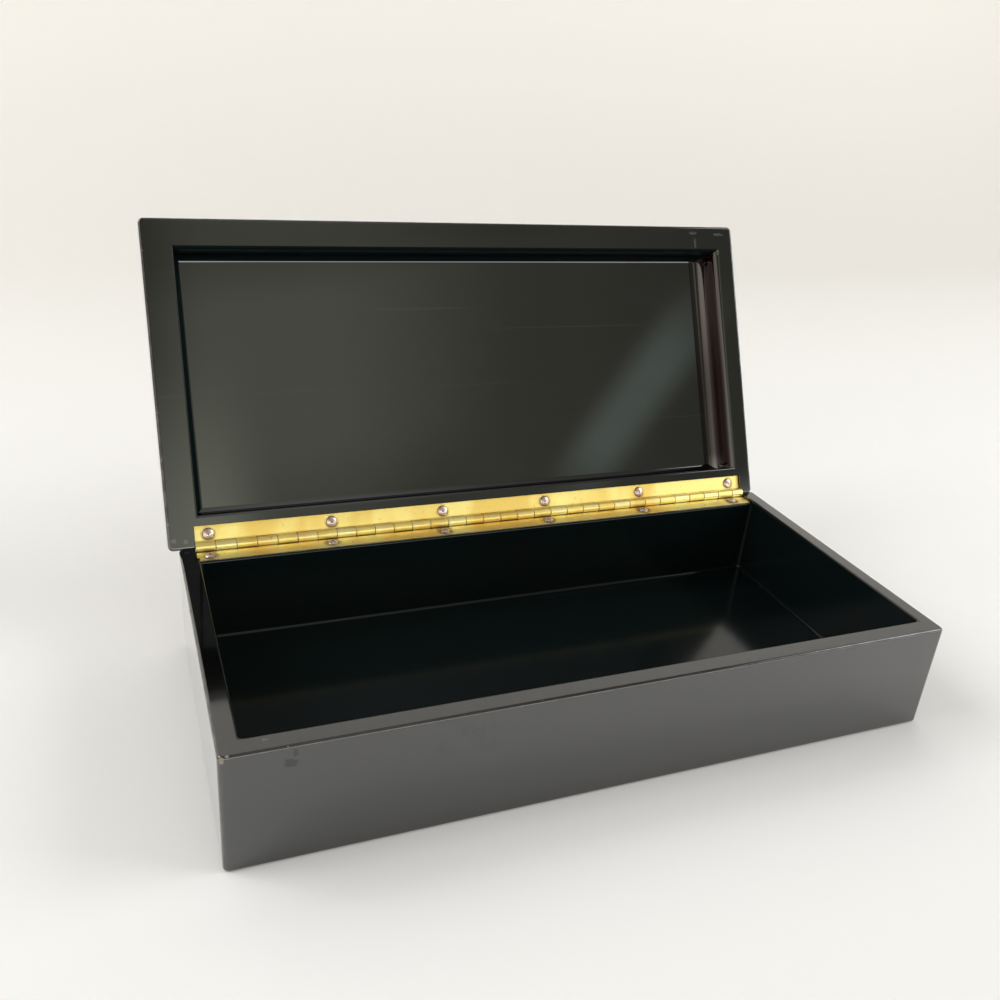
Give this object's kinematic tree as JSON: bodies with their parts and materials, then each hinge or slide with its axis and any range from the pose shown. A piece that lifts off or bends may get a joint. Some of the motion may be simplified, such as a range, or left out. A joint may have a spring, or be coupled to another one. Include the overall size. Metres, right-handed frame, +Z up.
{
  "type": "trinket box",
  "caption": "Low rectangular black lacquered box with a hinged, hollowed lid that swings open on a full length brass hinge and stands leaning back on its stop.",
  "frame": {"origin": "centre of the base's underside, on the surface the box stands on", "axes": "+X along the box's length, to the right when facing its front, +Y to the back where the hinge is, +Z up"},
  "size_m": [0.2028, 0.1473, 0.1193],
  "materials": {
    "lacquer": "gloss black lacquer",
    "brass": "polished",
    "nails": "bright plated",
    "pin": "drawn wire"
  },
  "bodies": {
    "base": {"front_wall": "lacquer", "back_wall": "lacquer", "left_wall": "lacquer", "right_wall": "lacquer", "floor_panel": "lacquer", "base_hinge_leaf": "brass", "base_leaf_nails": "nails", "hinge_pin": "pin"},
    "lid": {"lid_front_rail": "lacquer", "lid_back_rail": "lacquer", "lid_left_rail": "lacquer", "lid_right_rail": "lacquer", "lid_panel": "lacquer", "lid_hinge_leaf": "brass", "lid_leaf_nails": "nails"}
  },
  "joints": [
    {"name": "lid_hinge", "type": "hinge", "parent": "base", "child": "lid", "pos_m": [0, 0.04695, 0.03265], "axis": [1, 0, 0], "range_deg": [0, 115.4]}
  ]
}
